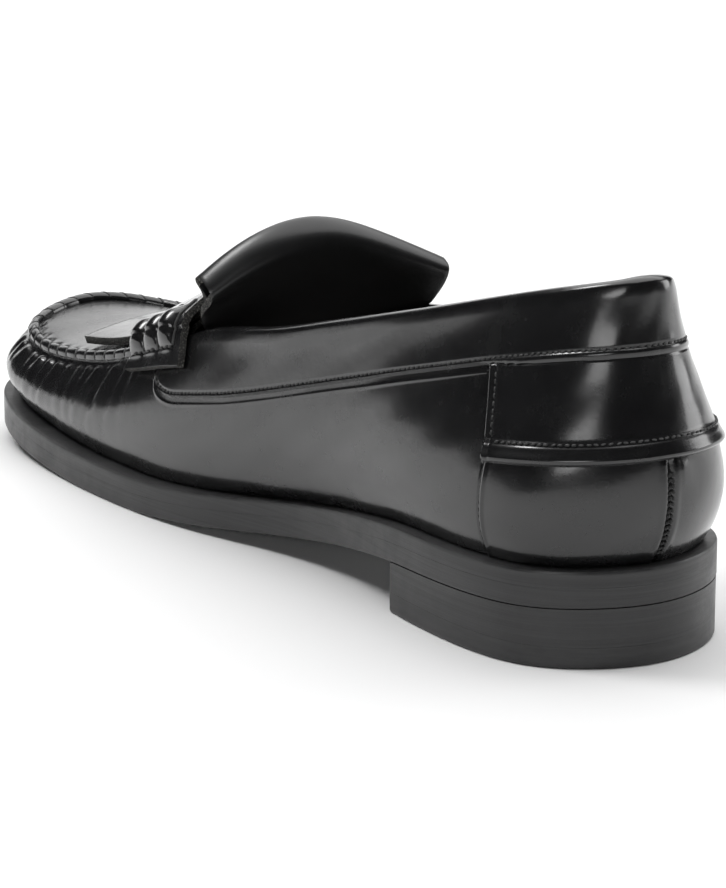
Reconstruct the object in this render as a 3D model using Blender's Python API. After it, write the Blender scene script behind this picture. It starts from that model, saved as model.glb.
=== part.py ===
"""Kiltie loafer, left shoe, standing empty on its heel and forefoot.

Metres, +Z up, +Y from heel to toe, -X to the lateral side. The origin is the
middle of the heel's flat underside. Heights and stations are worked out in
millimetres, along the shoe from the back of the heel.
"""
import math

import bmesh
import bpy
import numpy as np

MM = 0.001

# Driving dimensions, in millimetres
SOLE_LENGTH = 270.0
BALL_WIDTH = 86.0
HEEL_HEIGHT = 22.6        # floor to the top of the sole's edge, at the back
BACK_HEIGHT = 86.0        # floor to the collar, at the back
HEEL_RADIUS = 30.7
HEEL_LENGTH = 63.5        # back of the heel to its breast
TOE_SPRING = 6.5

# Sole
OUTSOLE = 4.8
MIDSOLE = 3.6
TOP_PIECE = 5.0
INSOLE = 3.0
GAP = 0.3                 # between neighbouring pieces
SEAT_DROP = 1.6           # the seat falls this much from the back to the breast
TREAD_START = 0.63        # the flat of the forefoot, as shares of the length
TREAD_END = 0.70
SOLE_EDGE = 0.6           # small bevel on the sole's edges

# Upper
WALL = 1.8
RIM_HEIGHT = 2.3          # gathered rim round the apron, above the seam
PANEL_STEP = 0.8          # collar panel over the quarter
BACK_STEP = 0.7           # back panel over the quarter
LIP_STEP = 1.7            # turned lip across the heel
LIP_BACK = 0.40           # height of the lip, as a share of the wall, at the back
LIP_SIDE = 0.375          # and at the back panel's front edges
THROAT = 6.30             # station where the collar meets the apron's seam
SIDE_SEAM = 1.95          # station of the back panel's front edge

# Strap and kiltie tongue
STRAP = 2.0
STRAP_CLEAR = 1.2         # between the strap's ends and the wall, past the collar panel's step
STRAP_BACK = 6.05
STRAP_FRONT = 6.77
STRAP_END_BACK = 0.755     # the strap's end, as a share of the wall's height
STRAP_END_FRONT = 0.785
ROLL_HEIGHT = 3.0
ROLL_COUNT = 3
ROLL_RADIUS = 3.4
STRAP_SIDE = 7.2          # from the strap's end up to the apron's seam
STRAP_SPAN = 58.0         # from seam to seam
TONGUE = 1.8

# The tongue's flap on the apron, from its tip back to the fold, in millimetres: place
# from the back of the heel, half width and rise clear of the apron.
FLAP = (
    (217.0, 26.0, 1.0),
    (204.0, 26.0, 0.5),
    (190.0, 25.5, 0.1),
    (177.0, 24.5, 0.0),
    (167.0, 24.3, 0.0),
    (157.0, 24.3, 0.0),
)
FLAP_MIDDLE = 1.0         # the flap lies this far towards the medial side

# Stations down each side, from the back of the heel (0) to the tip of the toe (11).
# Across is a share of the ball width, along of the length and up of the back
# height, each in per cent. Sole is the outsole's outline and top the collar or
# the apron's seam; tuck is how far in from the sole's edge the upper starts and
# bulge how far its wall swells, in millimetres, and fall how soon the swell dies
# away upwards; panel is the share of the wall that the collar panel takes, and
# crown the rise of the apron in millimetres.
COLUMNS = ("sole_x", "sole_y", "top_x", "top_y", "top_z", "tuck", "bulge", "fall", "panel", "crown")
LATERAL = (
    (0.0, 0.0, 0.0, 2.1, 99.8, 3.2, 6.2, 2.6, 0.235, 0.0),
    (25.0, 3.3, 9.2, 3.6, 98.8, 3.2, 6.2, 2.6, 0.238, 0.0),
    (35.2, 10.7, 19.0, 10.6, 93.4, 3.4, 6.0, 2.4, 0.25, 4.0),
    (34.9, 22.6, 26.4, 22.2, 83.1, 3.4, 5.6, 2.1, 0.28, 8.0),
    (30.8, 34.1, 30.8, 34.1, 72.9, 3.0, 6.0, 1.8, 0.31, 11.0),
    (33.7, 44.8, 33.2, 45.2, 64.2, 3.2, 6.0, 1.6, 0.35, 13.0),
    (41.9, 55.6, 32.9, 55.6, 57.4, 4.2, 5.2, 1.5, 0.40, 12.0),
    (45.6, 69.6, 33.7, 69.6, 41.6, 5.0, 4.8, 1.5, 0.36, 8.0),
    (43.6, 83.7, 33.4, 83.2, 33.6, 5.0, 4.6, 1.5, 0.34, 4.0),
    (37.9, 92.4, 30.4, 90.4, 33.4, 4.8, 5.0, 1.5, 0.33, 2.4),
    (24.0, 97.8, 20.8, 95.2, 35.2, 4.4, 5.2, 1.5, 0.33, 1.2),
    (-4.7, 100.2, -1.8, 97.8, 37.6, 4.2, 5.0, 1.5, 0.33, 0.0),
)
MEDIAL = (
    (0.0, 0.0, 0.0, 2.1, 99.8, 3.2, 6.2, 2.6, 0.235, 0.0),
    (25.0, 3.3, 9.2, 3.6, 98.4, 3.2, 6.2, 2.6, 0.238, 0.0),
    (35.2, 10.7, 18.8, 10.6, 92.7, 3.4, 6.0, 2.4, 0.25, 4.0),
    (33.4, 22.6, 26.0, 22.2, 82.0, 3.4, 5.8, 2.1, 0.28, 8.0),
    (27.0, 34.1, 29.4, 34.1, 71.5, 2.8, 7.0, 1.8, 0.31, 11.0),
    (32.0, 44.8, 32.0, 45.2, 63.0, 3.0, 7.0, 1.6, 0.35, 13.0),
    (43.6, 55.6, 34.3, 55.6, 57.0, 4.2, 5.6, 1.5, 0.40, 12.0),
    (53.5, 69.6, 38.4, 69.6, 42.0, 5.0, 4.8, 1.5, 0.36, 8.0),
    (50.0, 83.7, 36.0, 83.0, 34.4, 5.0, 4.6, 1.5, 0.34, 4.0),
    (42.4, 91.5, 31.4, 89.6, 33.9, 4.8, 4.8, 1.5, 0.33, 2.4),
    (27.9, 97.4, 22.1, 95.0, 35.2, 4.4, 5.0, 1.5, 0.33, 1.2),
    (-4.7, 100.2, -1.8, 97.8, 37.6, 4.2, 5.0, 1.5, 0.33, 0.0),
)
SIDE_ROWS = len(LATERAL) - 1          # stations down one side
RING = 2 * SIDE_ROWS                  # stations all the way round

# The kiltie tongue across its width, from the lateral edge (0) to the medial (1), in
# millimetres: the top of its fold, the furthest back that the rear layer hangs and
# the lowest that it hangs before it turns forward under the apron. The columns are
# share, top x, y and z, back y and z, low y and z.
FOLD = (
    (0.00, -28.3, 150.6, 62.0, 145.8, 58.0, 150.6, 48.6),
    (0.22, -17.0, 146.6, 71.0, 142.2, 64.5, 147.4, 48.0),
    (0.48, -2.0, 141.6, 76.0, 137.6, 68.5, 144.0, 47.6),
    (0.75, 14.0, 136.8, 71.8, 133.4, 65.5, 141.0, 48.4),
    (1.00, 29.5, 131.3, 64.3, 129.0, 60.5, 137.0, 51.4),
)


def cubic(values, closed):
    """Second derivatives of the smooth curve through values at 0, 1, 2 ..."""
    v = np.asarray(values, float)
    n = len(v)
    a = np.zeros((n, n))
    b = np.zeros(v.shape)
    for i in range(n):
        before, after = (i - 1) % n, (i + 1) % n
        if not closed and i in (0, n - 1):
            a[i, i] = 1.0
            continue
        a[i, before] += 1.0
        a[i, i] += 4.0
        a[i, after] += 1.0
        b[i] = 6.0 * (v[before] - 2.0 * v[i] + v[after])
    return v, np.linalg.solve(a, b)


def read(curve, at, closed):
    """The curve's value at a station."""
    v, m = curve
    n = len(v)
    if closed:
        at = at % n
        i = int(at) % n
        j = (i + 1) % n
    else:
        at = min(max(at, 0.0), n - 1.0)
        i = min(int(at), n - 2)
        j = i + 1
    t = at - int(at) if closed else at - i
    s = 1.0 - t
    return s * v[i] + t * v[j] + ((s ** 3 - s) * m[i] + (t ** 3 - t) * m[j]) / 6.0


def ring_rows():
    """The tables as one ring: up the lateral side to the toe and back down the medial side."""
    rows = []
    for side, table in ((-1.0, LATERAL), (1.0, MEDIAL[:0:-1][1:])):
        for row in table:
            cell = dict(zip(COLUMNS, row))
            rows.append((
                side * cell["sole_x"] * BALL_WIDTH / 100.0,
                cell["sole_y"] * SOLE_LENGTH / 100.0,
                side * cell["top_x"] * BALL_WIDTH / 100.0,
                cell["top_y"] * SOLE_LENGTH / 100.0,
                cell["top_z"] * BACK_HEIGHT / 100.0,
                cell["tuck"],
                cell["bulge"],
                cell["fall"],
                cell["panel"],
                cell["crown"],
            ))
    return rows


LAST = cubic(ring_rows(), closed=True)
FOLD_LINE = cubic([row[1:] for row in FOLD], closed=False)


def smooth(t):
    t = min(max(t, 0.0), 1.0)
    return t * t * (3.0 - 2.0 * t)


def seat_height(y):
    """Underside of the outsole above the floor: heel seat, arch, flat tread and toe spring."""
    seat_back = HEEL_HEIGHT - OUTSOLE - MIDSOLE - GAP
    along = y / SOLE_LENGTH
    breast = HEEL_LENGTH / SOLE_LENGTH
    seat_breast = seat_back - SEAT_DROP
    seat = seat_back - SEAT_DROP * along / breast
    s = (TREAD_START - along) / (TREAD_START - breast)
    if s > 0.0:
        arch = seat_breast * s ** 1.45 * (1.0 + 0.07 * math.sin(math.pi * min(s, 1.0)))
        blend = 0.5
        low = min(seat, arch)
        soft = low - blend * math.log(math.exp((low - seat) / blend) + math.exp((low - arch) / blend))
        return max(soft + blend * math.log(1.0 + math.exp(-seat / blend)), 0.0)
    if along > TREAD_END:
        return TOE_SPRING * ((along - TREAD_END) / (1.0 - TREAD_END)) ** 1.9
    return 0.0


def sole_top(y):
    """Top of the midsole, on which the upper stands."""
    return seat_height(y) + OUTSOLE + GAP + MIDSOLE


def outline(at, inset=0.0):
    """The sole's outline at a station, moved inwards by inset."""
    here = read(LAST, at, True)[:2]
    ahead = read(LAST, at + 0.02, True)[:2]
    behind = read(LAST, at - 0.02, True)[:2]
    run = ahead - behind
    run /= np.linalg.norm(run)
    inward = np.array((run[1], -run[0]))
    return here + inward * inset


def outward(at):
    step = outline(at, -1.0) - outline(at, 0.0)
    return np.array((step[0], step[1], 0.0))


def wall_point(at, share):
    """The upper's outer wall before its seams: share runs from the sole (0) to the top (1)."""
    row = read(LAST, at, True)
    foot_xy = outline(at, row[5])
    foot = np.array((foot_xy[0], foot_xy[1], sole_top(foot_xy[1]) + GAP))
    top = np.array(row[2:5])
    out = outward(at)
    rise = top[2] - foot[2]
    lean = -float(np.dot(top - foot, out))
    swell = out * rise + np.array((0.0, 0.0, 1.0)) * max(lean, 0.0)
    swell /= np.linalg.norm(swell)
    fall = row[7]
    peak = fall ** fall / (1.0 + fall) ** (1.0 + fall)
    profile = share * (1.0 - share) ** fall / peak
    return foot + (top - foot) * share + swell * row[6] * profile


def apron_point(at, across):
    """The apron over the instep and toe: across runs from the lateral seam (-1) to the medial (1)."""
    lateral = wall_point(at, 1.0)
    medial = wall_point(RING - at, 1.0)
    crown = read(LAST, at, True)[9]
    middle = (lateral + medial) / 2.0
    half = (medial - lateral) / 2.0
    return middle + half * across + np.array((0.0, 0.0, crown)) * (1.0 - across * across)


def place(point):
    """Millimetres from the back of the heel, to metres from the origin."""
    return (point[0] * MM, (point[1] - HEEL_RADIUS) * MM, point[2] * MM)


def finish(bm, name, colour, roughness):
    """Turn a mesh into an object with its own material."""
    bmesh.ops.remove_doubles(bm, verts=bm.verts, dist=1e-6)
    bmesh.ops.dissolve_degenerate(bm, edges=bm.edges, dist=1e-7)
    bmesh.ops.recalc_face_normals(bm, faces=bm.faces)
    mesh = bpy.data.meshes.new(name)
    bm.to_mesh(mesh)
    bm.free()
    mesh.shade_smooth()
    mesh.set_sharp_from_angle(angle=math.radians(35.0))
    piece = bpy.data.objects.new(name, mesh)
    bpy.context.scene.collection.objects.link(piece)
    material = bpy.data.materials.new(name)
    material.use_nodes = True
    shader = material.node_tree.nodes["Principled BSDF"]
    shader.inputs["Base Color"].default_value = (*colour, 1.0)
    shader.inputs["Roughness"].default_value = roughness
    shader.inputs["Metallic"].default_value = 0.0
    mesh.materials.append(material)
    return piece


def plate(name, stations, inset, low, high, edge, colour, roughness):
    """A layer of the sole: one section across for each station, joined along the shoe."""
    bm = bmesh.new()
    rings = []
    for at in stations:
        rims = []
        for side in (at, RING - at):
            full = outline(side, inset)
            near = outline(side, inset + edge)
            rims.append([
                (near[0], near[1], low(near[1])),
                (full[0], full[1], low(full[1]) + edge),
                (full[0], full[1], high(full[1]) - edge),
                (near[0], near[1], high(near[1])),
            ])
        section = rims[0] + rims[1][::-1]
        rings.append([bm.verts.new(place(p)) for p in section])
    for ring, after in zip(rings[:-1], rings[1:]):
        count = len(ring)
        for i in range(count):
            j = (i + 1) % count
            bm.faces.new((ring[i], ring[j], after[j], after[i]))
    if stations[-1] < SIDE_ROWS:
        bm.faces.new(rings[-1])
    return finish(bm, name, colour, roughness)


def shell(name, bm, lift, drop, colour, roughness):
    """A sheet of leather: the skin's points raised by lift and lowered by drop along its normals."""
    bm.normal_update()
    bm.verts.index_update()
    base = [(v.co.copy(), v.normal.copy()) for v in bm.verts]
    faces = [[v.index for v in f.verts] for f in bm.faces]
    rims = [
        (loop.vert.index, loop.link_loop_next.vert.index)
        for f in bm.faces for loop in f.loops if loop.edge.is_boundary
    ]
    bm.free()
    solid = bmesh.new()
    outer = [solid.verts.new(co + n * lift[i] * MM) for i, (co, n) in enumerate(base)]
    inner = [solid.verts.new(co - n * drop[i] * MM) for i, (co, n) in enumerate(base)]
    for face in faces:
        solid.faces.new([outer[i] for i in face])
        solid.faces.new([inner[i] for i in reversed(face)])
    for a, b in rims:
        solid.faces.new((outer[b], outer[a], inner[a], inner[b]))
    return finish(solid, name, colour, roughness)


def side_stations(first, last, steps):
    return [first + (last - first) * i / steps for i in range(steps + 1)]


def heel_station():
    """The station where the sole's outline reaches the heel's breast."""
    low, high = 2.0, 4.0
    for _ in range(40):
        middle = (low + high) / 2.0
        if outline(middle)[1] < HEEL_LENGTH:
            low = middle
        else:
            high = middle
    return low


def make_sole():
    black = (0.018, 0.018, 0.02)
    whole = side_stations(0.0, SIDE_ROWS, 44)
    plate("outsole", whole, 0.0, seat_height, lambda y: seat_height(y) + OUTSOLE, SOLE_EDGE, black, 0.45)
    plate("midsole", whole, 0.0, lambda y: sole_top(y) - MIDSOLE, sole_top, SOLE_EDGE, black, 0.4)
    heel = side_stations(0.0, heel_station(), 14)
    plate("heel_stack", heel, 0.2, lambda y: TOP_PIECE + GAP, lambda y: seat_height(y) - GAP, 0.3, black, 0.45)
    plate("heel_top_piece", heel, 0.2, lambda y: 0.0, lambda y: TOP_PIECE, 0.5, black, 0.5)


def make_insole():
    """The insole lies on the midsole, inside the upper's wall."""
    def edge_inset(at):
        return read(LAST, at, True)[5] + WALL + 0.9

    bm = bmesh.new()
    rings = []
    for at in side_stations(0.0, SIDE_ROWS, 30):
        rims = []
        for side in (at, RING - at):
            x, y = outline(side, edge_inset(side))
            rims.append([(x, y, sole_top(y) + GAP), (x, y, sole_top(y) + GAP + INSOLE)])
        section = rims[0] + rims[1][::-1]
        rings.append([bm.verts.new(place(p)) for p in section])
    for ring, after in zip(rings[:-1], rings[1:]):
        for i in range(4):
            j = (i + 1) % 4
            bm.faces.new((ring[i], ring[j], after[j], after[i]))
    finish(bm, "insole", (0.03, 0.026, 0.023), 0.7)


def wall_levels(at):
    """Shares of the wall's height where its rows of points lie, with the relief there."""
    panel = 1.0 - read(LAST, at, True)[8]
    side = min(at, RING - at)
    has_panel = 1.0 - smooth((side - STRAP_BACK - 0.1) / 0.3)
    has_rim = smooth((side - STRAP_FRONT) / 0.4)
    has_lip = 1.0 - smooth((side - SIDE_SEAM) / 0.06)
    back = BACK_STEP * has_lip
    lip = LIP_BACK + (LIP_SIDE - LIP_BACK) * smooth(side / SIDE_SEAM)
    band = back * 0.6 + has_panel * PANEL_STEP
    gap = (panel - lip) / 3.0
    return (
        (0.0, 0.0),
        (0.09, 0.0),
        (0.20, back * 0.4),
        (lip - 0.035, back * 0.4),
        (lip - 0.015, has_lip * LIP_STEP),
        (lip + 0.03, has_lip * LIP_STEP * 0.8),
        (lip + 0.06, back),
        (lip + gap * 1.6, back),
        (panel - 0.015, back),
        (panel, band + 0.1),
        ((panel + 1.0) / 2.0, band),
        (0.93, band),
        (1.0, has_panel * 0.5 + has_rim * RIM_HEIGHT),
    )


def make_upper():
    """One hollow wall: round the foot to the collar and the apron's seam, and over the toe."""
    per_row = 4
    stations = [i / per_row for i in range(RING * per_row)]
    stations += [SIDE_SEAM, SIDE_SEAM + 0.07, RING - SIDE_SEAM, RING - SIDE_SEAM - 0.07, THROAT, RING - THROAT]
    stations = sorted(set(stations))
    bm = bmesh.new()
    relief = []
    columns = []
    for at in stations:
        column = []
        for share, rise in wall_levels(at):
            column.append(bm.verts.new(place(wall_point(at, share))))
            relief.append(rise)
        columns.append(column)
    count = len(stations)
    for i in range(count):
        here, after = columns[i], columns[(i + 1) % count]
        for low in range(len(here) - 1):
            bm.faces.new((here[low], here[low + 1], after[low + 1], after[low]))
    top = {round(at, 4): column[-1] for at, column in zip(stations, columns)}
    across = (-0.93, -0.8, -0.55, -0.28, 0.0, 0.28, 0.55, 0.8, 0.93)
    rows = []
    for at in [s for s in stations if THROAT <= s < SIDE_ROWS]:
        row = [top[round(at, 4)]]
        for share in across:
            row.append(bm.verts.new(place(apron_point(at, share))))
            relief.append(0.0)
        row.append(top[round(RING - at, 4)])
        rows.append(row)
    for row, after in zip(rows[:-1], rows[1:]):
        for i in range(len(row) - 1):
            bm.faces.new((row[i], row[i + 1], after[i + 1], after[i]))
    tip = top[round(float(SIDE_ROWS), 4)]
    for a, b in zip(rows[-1][:-1], rows[-1][1:]):
        bm.faces.new((a, b, tip))
    bmesh.ops.recalc_face_normals(bm, faces=bm.faces)
    probe = max(bm.faces, key=lambda f: f.calc_center_median().y)
    if probe.normal.y < 0.0:
        bmesh.ops.reverse_faces(bm, faces=bm.faces)
    shell("upper", bm, relief, [WALL] * len(relief), (0.012, 0.012, 0.013), 0.12)


def girth_point(at, share, end):
    """Across the instep, from the lateral wall (0 to 1) over the apron (1 to 2) to the medial wall (2 to 3)."""
    if share < 1.0:
        return wall_point(at, end + (1.0 - end) * share)
    if share > 2.0:
        return wall_point(RING - at, end + (1.0 - end) * (3.0 - share))
    return apron_point(at, (share - 1.5) * 2.0)


def make_strap():
    """The saddle strap, with a gathered roll across each end."""
    bm = bmesh.new()
    along = side_stations(0.0, 1.0, 12)
    half = (0.0, 0.25, 0.5, 0.7, 0.85, 1.0, 1.02, 1.045, 1.07, 1.1, 1.14, 1.19, 1.26, 1.34, 1.42)
    girth = list(half) + [1.5] + [3.0 - g for g in reversed(half)]
    points = np.zeros((len(along), len(girth), 3))
    for i, a in enumerate(along):
        for j, g in enumerate(girth):
            back = STRAP_BACK + 0.10 * smooth(min(g, 3.0 - g))
            end = STRAP_END_BACK + (STRAP_END_FRONT - STRAP_END_BACK) * a
            points[i, j] = girth_point(back + (STRAP_FRONT - back) * a, g, end)
    for _ in range(2):
        calm = points.copy()
        calm[:, 1:-1] = 0.5 * points[:, 1:-1] + 0.25 * (points[:, :-2] + points[:, 2:])
        points = np.maximum(calm * (0, 0, 1), points * (0, 0, 1)) + calm * (1, 1, 0)
    grid = [[bm.verts.new(place(p)) for p in row] for row in points]
    low = []
    high = []
    for i, a in enumerate(along):
        roll_end = smooth(a / 0.08) * smooth((1.0 - a) / 0.05)
        puff = abs(math.sin(math.pi * ROLL_COUNT * max(a - 0.14, 0.0) / 0.86)) ** 0.5 if a > 0.14 else 0.0
        for g in girth:
            edge = min(g, 3.0 - g)
            over_tongue = smooth((edge - 0.97) / 0.07)
            clear = STRAP_CLEAR + (TONGUE + 3.0 * GAP - STRAP_CLEAR) * over_tongue
            reach = (edge - 1.0) * (STRAP_SIDE if edge < 1.0 else STRAP_SPAN)
            roll = math.exp(-(reach / ROLL_RADIUS) ** 2)
            low.append(clear)
            high.append(clear + STRAP + roll * ROLL_HEIGHT * puff * roll_end)
    for i in range(len(along) - 1):
        for j in range(len(girth) - 1):
            bm.faces.new((grid[i][j], grid[i][j + 1], grid[i + 1][j + 1], grid[i + 1][j]))
    aim_up(bm)
    shell("saddle_strap", bm, high, [-v for v in low], (0.012, 0.012, 0.013), 0.14)


def aim_up(bm):
    """Point the skin's faces outwards, away from the inside of the shoe."""
    bmesh.ops.recalc_face_normals(bm, faces=bm.faces)
    if sum(f.normal.z * f.calc_area() for f in bm.faces) < 0.0:
        bmesh.ops.reverse_faces(bm, faces=bm.faces)


def apron_height(x, y, clear=0.0):
    """Height over a place in plan of a point that stands clear of the apron's outer face."""
    low, high = 5.0, 10.0
    for _ in range(30):
        at = (low + high) / 2.0
        if apron_point(at, 0.0)[1] < y:
            low = at
        else:
            high = at
    left = apron_point(at, -1.0)
    right = apron_point(at, 1.0)
    across = min(max((2.0 * x - left[0] - right[0]) / (right[0] - left[0]), -1.0), 1.0)
    here = apron_point(at, across)
    crown = read(LAST, at, True)[9]
    tilt = (right[2] - left[2] - 4.0 * crown * across) / (right[0] - left[0])
    ahead = apron_point(at + 0.05, across)
    fall = (ahead[2] - here[2]) / (ahead[1] - here[1])
    return here[2] + clear * math.sqrt(1.0 + tilt * tilt + fall * fall)


def tongue_profile(share):
    """One strip of the kiltie tongue, from the flap's tip, under the strap, over the fold and down inside."""
    row = read(FOLD_LINE, (len(FOLD) - 1) * share_to_station(share), False)
    top_x, top_y, top_z, back_y, back_z, low_y, low_z = row
    top_z -= TONGUE / 2.0
    side = 2.0 * share - 1.0
    lift = GAP + TONGUE / 2.0
    flap = []
    for y, half, lifted in FLAP:
        x = half * side + FLAP_MIDDLE
        flap.append((x, y, apron_height(x, y, lift + lifted)))
    under = flap[-1]
    seat_x = 21.5 * side + 0.8
    return flap + [
        ((under[0] * 3.0 + top_x) / 4.0, 153.5, under[2] + 1.9),
        ((under[0] + top_x * 2.0) / 3.0, (152.6 + top_y) / 2.0 + 0.9, (under[2] + 2.0 + top_z) / 2.0),
        (top_x, top_y + 1.7, top_z - 1.2),
        (top_x, top_y, top_z),
        (top_x, (top_y + back_y) / 2.0 - 0.4, top_z - 0.3 * (top_z - back_z) - 0.5),
        (top_x * 0.99, back_y, back_z),
        (top_x * 0.95, back_y * 0.75 + low_y * 0.25, back_z * 0.5 + low_z * 0.5),
        (top_x * 0.84, low_y, low_z),
        (seat_x, 160.0, apron_height(seat_x, 160.0, -WALL - lift - 1.6)),
        (seat_x, 168.0, apron_height(seat_x, 168.0, -WALL - lift - 1.2)),
    ]


def share_to_station(share):
    """Where a share of the tongue's width lies among the rows of its fold table, from 0 to 1."""
    shares = [row[0] for row in FOLD]
    return float(np.interp(share, shares, np.linspace(0.0, 1.0, len(FOLD))))


def make_tongue():
    bm = bmesh.new()
    grid = []
    for share in side_stations(0.0, 1.0, 12):
        strip = cubic(tongue_profile(share), closed=False)
        count = len(strip[0])
        stops = [i / 2.0 for i in range(2 * count - 1)]
        grid.append([bm.verts.new(place(read(strip, s, False))) for s in stops])
    for here, after in zip(grid[:-1], grid[1:]):
        for i in range(len(here) - 1):
            bm.faces.new((here[i], here[i + 1], after[i + 1], after[i]))
    bmesh.ops.recalc_face_normals(bm, faces=bm.faces)
    half = [TONGUE / 2.0] * len(bm.verts)
    shell("kiltie_tongue", bm, half, half, (0.012, 0.012, 0.013), 0.14)


def main():
    for old in list(bpy.data.objects):
        bpy.data.objects.remove(old, do_unlink=True)
    make_sole()
    make_insole()
    make_upper()
    make_strap()
    make_tongue()


main()
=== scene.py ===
import math

import bmesh
import bpy
import numpy as np
from mathutils import Matrix, Vector


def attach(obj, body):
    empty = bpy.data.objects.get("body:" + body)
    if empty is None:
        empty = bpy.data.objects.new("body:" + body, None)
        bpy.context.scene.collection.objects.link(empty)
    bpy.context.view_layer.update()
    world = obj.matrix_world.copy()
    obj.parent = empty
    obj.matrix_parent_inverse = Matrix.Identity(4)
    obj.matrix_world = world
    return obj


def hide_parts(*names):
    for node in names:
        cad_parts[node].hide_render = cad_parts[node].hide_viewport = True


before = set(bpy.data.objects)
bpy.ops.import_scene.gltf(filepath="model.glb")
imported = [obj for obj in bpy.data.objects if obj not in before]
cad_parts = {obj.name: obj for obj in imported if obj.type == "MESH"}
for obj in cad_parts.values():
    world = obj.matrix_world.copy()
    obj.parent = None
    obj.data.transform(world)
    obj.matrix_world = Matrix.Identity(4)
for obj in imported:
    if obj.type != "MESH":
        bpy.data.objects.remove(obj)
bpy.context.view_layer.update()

# the last
# Stations run from the back of the heel (0) to the tip of the toe (11). Across is in
# per cent of the ball width, along of the sole's length, up of the back's height.
# Columns: sole across, sole along, top across, top along, top up, then in millimetres
# tuck and bulge of the wall, then fall of the bulge, panel share and apron crown.
last = {
    "soleLength": 270.0,
    "ballWidth": 86.0,
    "backHeight": 86.0,
    "heelHeight": 22.6,
    "heelRadius": 30.7,
    "heelLength": 63.5,
    "toeSpring": 6.5,
    "outsole": 4.8,
    "midsole": 3.6,
    "gap": 0.3,
    "seatDrop": 1.6,
    "treadStart": 0.63,
    "treadEnd": 0.70,
    "archPower": 1.45,
    "archSwell": 0.07,
    "springPower": 1.9,
    "seatBlend": 0.5,
    "lateral": (
        (0.0, 0.0, 0.0, 2.1, 99.8, 3.2, 6.2, 2.6, 0.235, 0.0),
        (25.0, 3.3, 9.2, 3.6, 98.8, 3.2, 6.2, 2.6, 0.238, 0.0),
        (35.2, 10.7, 19.0, 10.6, 93.4, 3.4, 6.0, 2.4, 0.25, 4.0),
        (34.9, 22.6, 26.4, 22.2, 83.1, 3.4, 5.6, 2.1, 0.28, 8.0),
        (30.8, 34.1, 30.8, 34.1, 72.9, 3.0, 6.0, 1.8, 0.31, 11.0),
        (33.7, 44.8, 33.2, 45.2, 64.2, 3.2, 6.0, 1.6, 0.35, 13.0),
        (41.9, 55.6, 32.9, 55.6, 57.4, 4.2, 5.2, 1.5, 0.40, 12.0),
        (45.6, 69.6, 33.7, 69.6, 41.6, 5.0, 4.8, 1.5, 0.36, 8.0),
        (43.6, 83.7, 33.4, 83.2, 33.6, 5.0, 4.6, 1.5, 0.34, 4.0),
        (37.9, 92.4, 30.4, 90.4, 33.4, 4.8, 5.0, 1.5, 0.33, 2.4),
        (24.0, 97.8, 20.8, 95.2, 35.2, 4.4, 5.2, 1.5, 0.33, 1.2),
        (-4.7, 100.2, -1.8, 97.8, 37.6, 4.2, 5.0, 1.5, 0.33, 0.0),
    ),
    "medial": (
        (0.0, 0.0, 0.0, 2.1, 99.8, 3.2, 6.2, 2.6, 0.235, 0.0),
        (25.0, 3.3, 9.2, 3.6, 98.4, 3.2, 6.2, 2.6, 0.238, 0.0),
        (35.2, 10.7, 18.8, 10.6, 92.7, 3.4, 6.0, 2.4, 0.25, 4.0),
        (33.4, 22.6, 26.0, 22.2, 82.0, 3.4, 5.8, 2.1, 0.28, 8.0),
        (27.0, 34.1, 29.4, 34.1, 71.5, 2.8, 7.0, 1.8, 0.31, 11.0),
        (32.0, 44.8, 32.0, 45.2, 63.0, 3.0, 7.0, 1.6, 0.35, 13.0),
        (43.6, 55.6, 34.3, 55.6, 57.0, 4.2, 5.6, 1.5, 0.40, 12.0),
        (53.5, 69.6, 38.4, 69.6, 42.0, 5.0, 4.8, 1.5, 0.36, 8.0),
        (50.0, 83.7, 36.0, 83.0, 34.4, 5.0, 4.6, 1.5, 0.34, 4.0),
        (42.4, 91.5, 31.4, 89.6, 33.9, 4.8, 4.8, 1.5, 0.33, 2.4),
        (27.9, 97.4, 22.1, 95.0, 35.2, 4.4, 5.0, 1.5, 0.33, 1.2),
        (-4.7, 100.2, -1.8, 97.8, 37.6, 4.2, 5.0, 1.5, 0.33, 0.0),
    ),
}
tuckColumn, bulgeColumn, fallColumn, panelColumn, crownColumn = range(5, 10)
toeStation = len(last["lateral"]) - 1
ring = 2 * toeStation
upwards = np.array((0.0, 0.0, 1.0))


def curveThrough(values, closed):
    v = np.asarray(values, float)
    n = len(v)
    a = np.zeros((n, n))
    b = np.zeros(v.shape)
    for i in range(n):
        if not closed and i in (0, n - 1):
            a[i, i] = 1.0
            continue
        a[i, (i - 1) % n] += 1.0
        a[i, i] += 4.0
        a[i, (i + 1) % n] += 1.0
        b[i] = 6.0 * (v[i - 1] - 2.0 * v[i] + v[(i + 1) % n])
    return v, np.linalg.solve(a, b), closed


def readCurve(curve, at):
    v, m, closed = curve
    n = len(v)
    at = np.asarray(at, float)
    if closed:
        at = at % n
        i = np.minimum(np.floor(at).astype(int), n - 1)
        j = (i + 1) % n
    else:
        at = np.clip(at, 0.0, n - 1.0)
        i = np.minimum(np.floor(at).astype(int), n - 2)
        j = i + 1
    t = (at - i)[..., None]
    s = 1.0 - t
    return s * v[i] + t * v[j] + ((s ** 3 - s) * m[i] + (t ** 3 - t) * m[j]) / 6.0


def lastRows():
    rows = []
    wide, long = last["ballWidth"], last["soleLength"]
    scale = (wide, long, wide, long, last["backHeight"])
    for side, table in ((-1.0, last["lateral"]), (1.0, last["medial"][:0:-1][1:])):
        for row in table:
            sizes = [value * whole / 100.0 for value, whole in zip(row, scale)]
            rows.append([side * sizes[0], sizes[1], side * sizes[2], sizes[3], sizes[4], *row[5:]])
    return rows


lastCurve = curveThrough(lastRows(), True)


def ease(t):
    t = np.clip(t, 0.0, 1.0)
    return t * t * (3.0 - 2.0 * t)


def bump(distance, width):
    return np.exp(-(distance / width) ** 2)


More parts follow.
